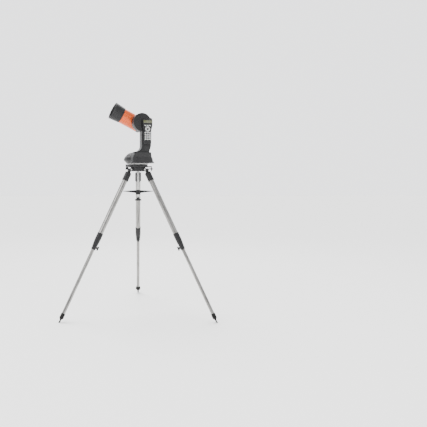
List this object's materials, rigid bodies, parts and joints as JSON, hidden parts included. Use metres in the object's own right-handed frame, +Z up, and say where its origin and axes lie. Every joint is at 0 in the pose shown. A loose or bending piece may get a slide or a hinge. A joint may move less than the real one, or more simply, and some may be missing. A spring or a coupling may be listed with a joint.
{
  "type": "star tracker mount",
  "caption": "Motorised single-arm alt-azimuth mount with hand control and short tube on a folding steel tripod; it points and tracks the sky.",
  "frame": {"origin": "middle of the bounding box's base, on the ground between the feet", "axes": "+Z up, +Y from the front of the instrument to the rear tripod leg, +X to the right of a person facing the arm's outer cover"},
  "size_m": [1.158, 1.0092, 1.6177],
  "materials": {
    "black_plastic": "satin moulded",
    "cast_black": "black powder coat",
    "stainless_tube": "fine drawn",
    "steel_hardware": "machined",
    "bright_plate": "machined",
    "brass_gear": "machined",
    "black_rubber": "matte",
    "orange_tube": "gloss metallic orange",
    "coated_glass": "coated",
    "mirror_coat": "aluminised",
    "pale_keys": "silicone",
    "lcd_olive": "clear window over an olive display"
  },
  "bodies": {
    "tripod_head": {"tripod_head": "cast_black", "center_rod": "steel_hardware", "tilt_pin": "steel_hardware", "hinge_bolt_1": "steel_hardware", "hinge_bolt_2": "steel_hardware", "hinge_bolt_3": "steel_hardware"},
    "leg_1": {"leg_socket_1": "black_plastic", "leg_upper_tube_1": "stainless_tube", "leg_lock_collar_1": "black_plastic"},
    "lower_leg_1": {"leg_lower_tube_1": "stainless_tube", "leg_foot_1": "black_rubber"},
    "lock_knob_1": {"leg_lock_knob_1": "black_plastic"},
    "leg_2": {"leg_socket_2": "black_plastic", "leg_upper_tube_2": "stainless_tube", "leg_lock_collar_2": "black_plastic"},
    "lower_leg_2": {"leg_lower_tube_2": "stainless_tube", "leg_foot_2": "black_rubber"},
    "lock_knob_2": {"leg_lock_knob_2": "black_plastic"},
    "leg_3": {"leg_socket_3": "black_plastic", "leg_upper_tube_3": "stainless_tube", "leg_lock_collar_3": "black_plastic"},
    "lower_leg_3": {"leg_lower_tube_3": "stainless_tube", "leg_foot_3": "black_rubber"},
    "lock_knob_3": {"leg_lock_knob_3": "black_plastic"},
    "leg_brace": {"leg_brace": "black_plastic"},
    "brace_knob": {"brace_knob": "black_plastic"},
    "tilt_table": {"tilt_plate": "cast_black", "base_plate": "cast_black", "azimuth_gear_plate": "bright_plate"},
    "tilt_lock_bolt": {"tilt_lock_bolt": "steel_hardware"},
    "mounting_bolt": {"mounting_bolt": "black_plastic"},
    "azimuth_base": {"base_floor": "black_plastic", "base_shell": "black_plastic", "azimuth_motor": "steel_hardware", "arm_inner_shell": "black_plastic", "arm_outer_cover": "black_plastic", "altitude_motor": "steel_hardware"},
    "azimuth_pinion": {"azimuth_pinion": "brass_gear"},
    "battery_cover": {"battery_cover": "black_plastic"},
    "power_switch": {"power_switch": "black_rubber"},
    "telescope": {"altitude_saddle": "cast_black", "altitude_gear": "brass_gear", "optical_tube": "orange_tube", "front_cell": "black_plastic", "corrector_lens": "coated_glass", "primary_mirror": "mirror_coat", "rear_cell": "black_plastic"},
    "altitude_pinion": {"altitude_pinion": "brass_gear"},
    "focus_knob": {"focus_knob": "black_rubber"},
    "eyepiece": {"eyepiece": "black_plastic"},
    "hand_control": {"hand_control_case": "black_plastic", "lcd_window": "lcd_olive", "number_keypad": "pale_keys"},
    "key_align": {"key_align": "pale_keys"},
    "key_enter": {"key_enter": "pale_keys"},
    "key_undo": {"key_undo": "pale_keys"},
    "arrow_up": {"arrow_up": "pale_keys"},
    "arrow_down": {"arrow_down": "pale_keys"},
    "arrow_left": {"arrow_left": "pale_keys"},
    "arrow_right": {"arrow_right": "pale_keys"}
  },
  "joints": [
    {"name": "leg_fold_1", "type": "hinge", "parent": "tripod_head", "child": "leg_1", "pos_m": [0, -0.09121, 1.112], "axis": [-1, 0, 0], "range_deg": [0, 24]},
    {"name": "leg_slide_1", "type": "slide", "parent": "leg_1", "child": "lower_leg_1", "axis": [0, -0.4681, 0.8837], "range_m": [0, 0.43]},
    {"name": "lock_knob_turn_1", "type": "hinge", "parent": "leg_1", "child": "lock_knob_1", "pos_m": [0, 0.2149, 0.53407], "axis": [0, 0.8837, 0.4681], "continuous": true},
    {"name": "leg_fold_2", "type": "hinge", "parent": "tripod_head", "child": "leg_2", "pos_m": [-0.06235, -0.19921, 1.112], "axis": [0.5, -0.866, 0], "range_deg": [0, 24]},
    {"name": "leg_slide_2", "type": "slide", "parent": "leg_2", "child": "lower_leg_2", "axis": [0.4054, 0.234, 0.8837], "range_m": [0, 0.43]},
    {"name": "lock_knob_turn_2", "type": "hinge", "parent": "leg_2", "child": "lock_knob_2", "pos_m": [-0.32746, -0.35227, 0.53407], "axis": [-0.7653, -0.4418, 0.4681], "continuous": true},
    {"name": "leg_fold_3", "type": "hinge", "parent": "tripod_head", "child": "leg_3", "pos_m": [0.06235, -0.19921, 1.112], "axis": [0.5, 0.866, 0], "range_deg": [0, 24]},
    {"name": "leg_slide_3", "type": "slide", "parent": "leg_3", "child": "lower_leg_3", "axis": [-0.4054, 0.234, 0.8837], "range_m": [0, 0.43]},
    {"name": "lock_knob_turn_3", "type": "hinge", "parent": "leg_3", "child": "lock_knob_3", "pos_m": [0.32746, -0.35227, 0.53407], "axis": [0.7653, -0.4418, 0.4681], "continuous": true},
    {"name": "brace_turn", "type": "hinge", "parent": "tripod_head", "child": "leg_brace", "pos_m": [0, -0.16321, 0.945], "axis": [0, 0, 1], "range_deg": [0, 60]},
    {"name": "brace_knob_turn", "type": "hinge", "parent": "tripod_head", "child": "brace_knob", "pos_m": [0, -0.16321, 0.879], "axis": [0, 0, 1], "continuous": true},
    {"name": "tilt", "type": "hinge", "parent": "tripod_head", "child": "tilt_table", "pos_m": [0, -0.07921, 1.136], "axis": [-1, 0, 0], "range_deg": [0, 45]},
    {"name": "tilt_lock_turn", "type": "hinge", "parent": "tilt_table", "child": "tilt_lock_bolt", "pos_m": [0.1, -0.16321, 1.118], "axis": [1, 0, 0], "continuous": true},
    {"name": "mounting_bolt_turn", "type": "hinge", "parent": "tilt_table", "child": "mounting_bolt", "pos_m": [-0.086, -0.15521, 1.125], "axis": [0, 0, 1], "continuous": true},
    {"name": "azimuth_turn", "type": "hinge", "parent": "tilt_table", "child": "azimuth_base", "pos_m": [0, -0.16321, 1.165], "axis": [0, 0, 1], "continuous": true},
    {"name": "azimuth_pinion_spin", "type": "hinge", "parent": "azimuth_base", "child": "azimuth_pinion", "pos_m": [-0.0599, -0.20835, 1.176], "axis": [0, 0, 1], "continuous": true},
    {"name": "battery_cover_lift", "type": "slide", "parent": "azimuth_base", "child": "battery_cover", "axis": [0, 0, 1], "range_m": [0, 0.03]},
    {"name": "power_switch_slide", "type": "slide", "parent": "azimuth_base", "child": "power_switch", "axis": [0.9563, 0.2924, 0], "range_m": [0, 0.004]},
    {"name": "altitude_turn", "type": "hinge", "parent": "azimuth_base", "child": "telescope", "pos_m": [0.01085, -0.22264, 1.464], "axis": [-0.2924, 0.9563, 0], "range_deg": [-32, 62]},
    {"name": "altitude_pinion_spin", "type": "hinge", "parent": "azimuth_base", "child": "altitude_pinion", "pos_m": [0.05242, -0.23503, 1.41239], "axis": [-0.2924, 0.9563, 0], "range_deg": [-200, 105]},
    {"name": "focus_knob_turn", "type": "hinge", "parent": "telescope", "child": "focus_knob", "pos_m": [0.06668, -0.14283, 1.3932], "axis": [-0.8595, -0.2628, 0.4384], "continuous": true},
    {"name": "eyepiece_slide", "type": "slide", "parent": "telescope", "child": "eyepiece", "axis": [0.2955, 0.0903, 0.9511], "range_m": [0, 0.018]},
    {"name": "hand_control_pull", "type": "slide", "parent": "azimuth_base", "child": "hand_control", "axis": [0.2924, -0.9563, 0], "range_m": [0, 0.12]},
    {"name": "key_align_press", "type": "slide", "parent": "hand_control", "child": "key_align", "axis": [-0.2924, 0.9563, 0], "range_m": [0, 0.0015], "stiffness_N_per_m": 300},
    {"name": "key_enter_press", "type": "slide", "parent": "hand_control", "child": "key_enter", "axis": [-0.2924, 0.9563, 0], "range_m": [0, 0.0015], "stiffness_N_per_m": 300},
    {"name": "key_undo_press", "type": "slide", "parent": "hand_control", "child": "key_undo", "axis": [-0.2924, 0.9563, 0], "range_m": [0, 0.0015], "stiffness_N_per_m": 300},
    {"name": "arrow_up_press", "type": "slide", "parent": "hand_control", "child": "arrow_up", "axis": [-0.2924, 0.9563, 0], "range_m": [0, 0.0015], "stiffness_N_per_m": 300},
    {"name": "arrow_down_press", "type": "slide", "parent": "hand_control", "child": "arrow_down", "axis": [-0.2924, 0.9563, 0], "range_m": [0, 0.0015], "stiffness_N_per_m": 300},
    {"name": "arrow_left_press", "type": "slide", "parent": "hand_control", "child": "arrow_left", "axis": [-0.2924, 0.9563, 0], "range_m": [0, 0.0015], "stiffness_N_per_m": 300},
    {"name": "arrow_right_press", "type": "slide", "parent": "hand_control", "child": "arrow_right", "axis": [-0.2924, 0.9563, 0], "range_m": [0, 0.0015], "stiffness_N_per_m": 300}
  ],
  "couplings": [
    {"joint": "leg_fold_2", "follows": "leg_fold_1", "ratio": 1},
    {"joint": "leg_fold_3", "follows": "leg_fold_1", "ratio": 1},
    {"joint": "brace_turn", "follows": "leg_fold_1", "ratio": 2.5},
    {"joint": "azimuth_pinion_spin", "follows": "azimuth_turn", "ratio": 4},
    {"joint": "altitude_pinion_spin", "follows": "altitude_turn", "ratio": -3.2}
  ]
}
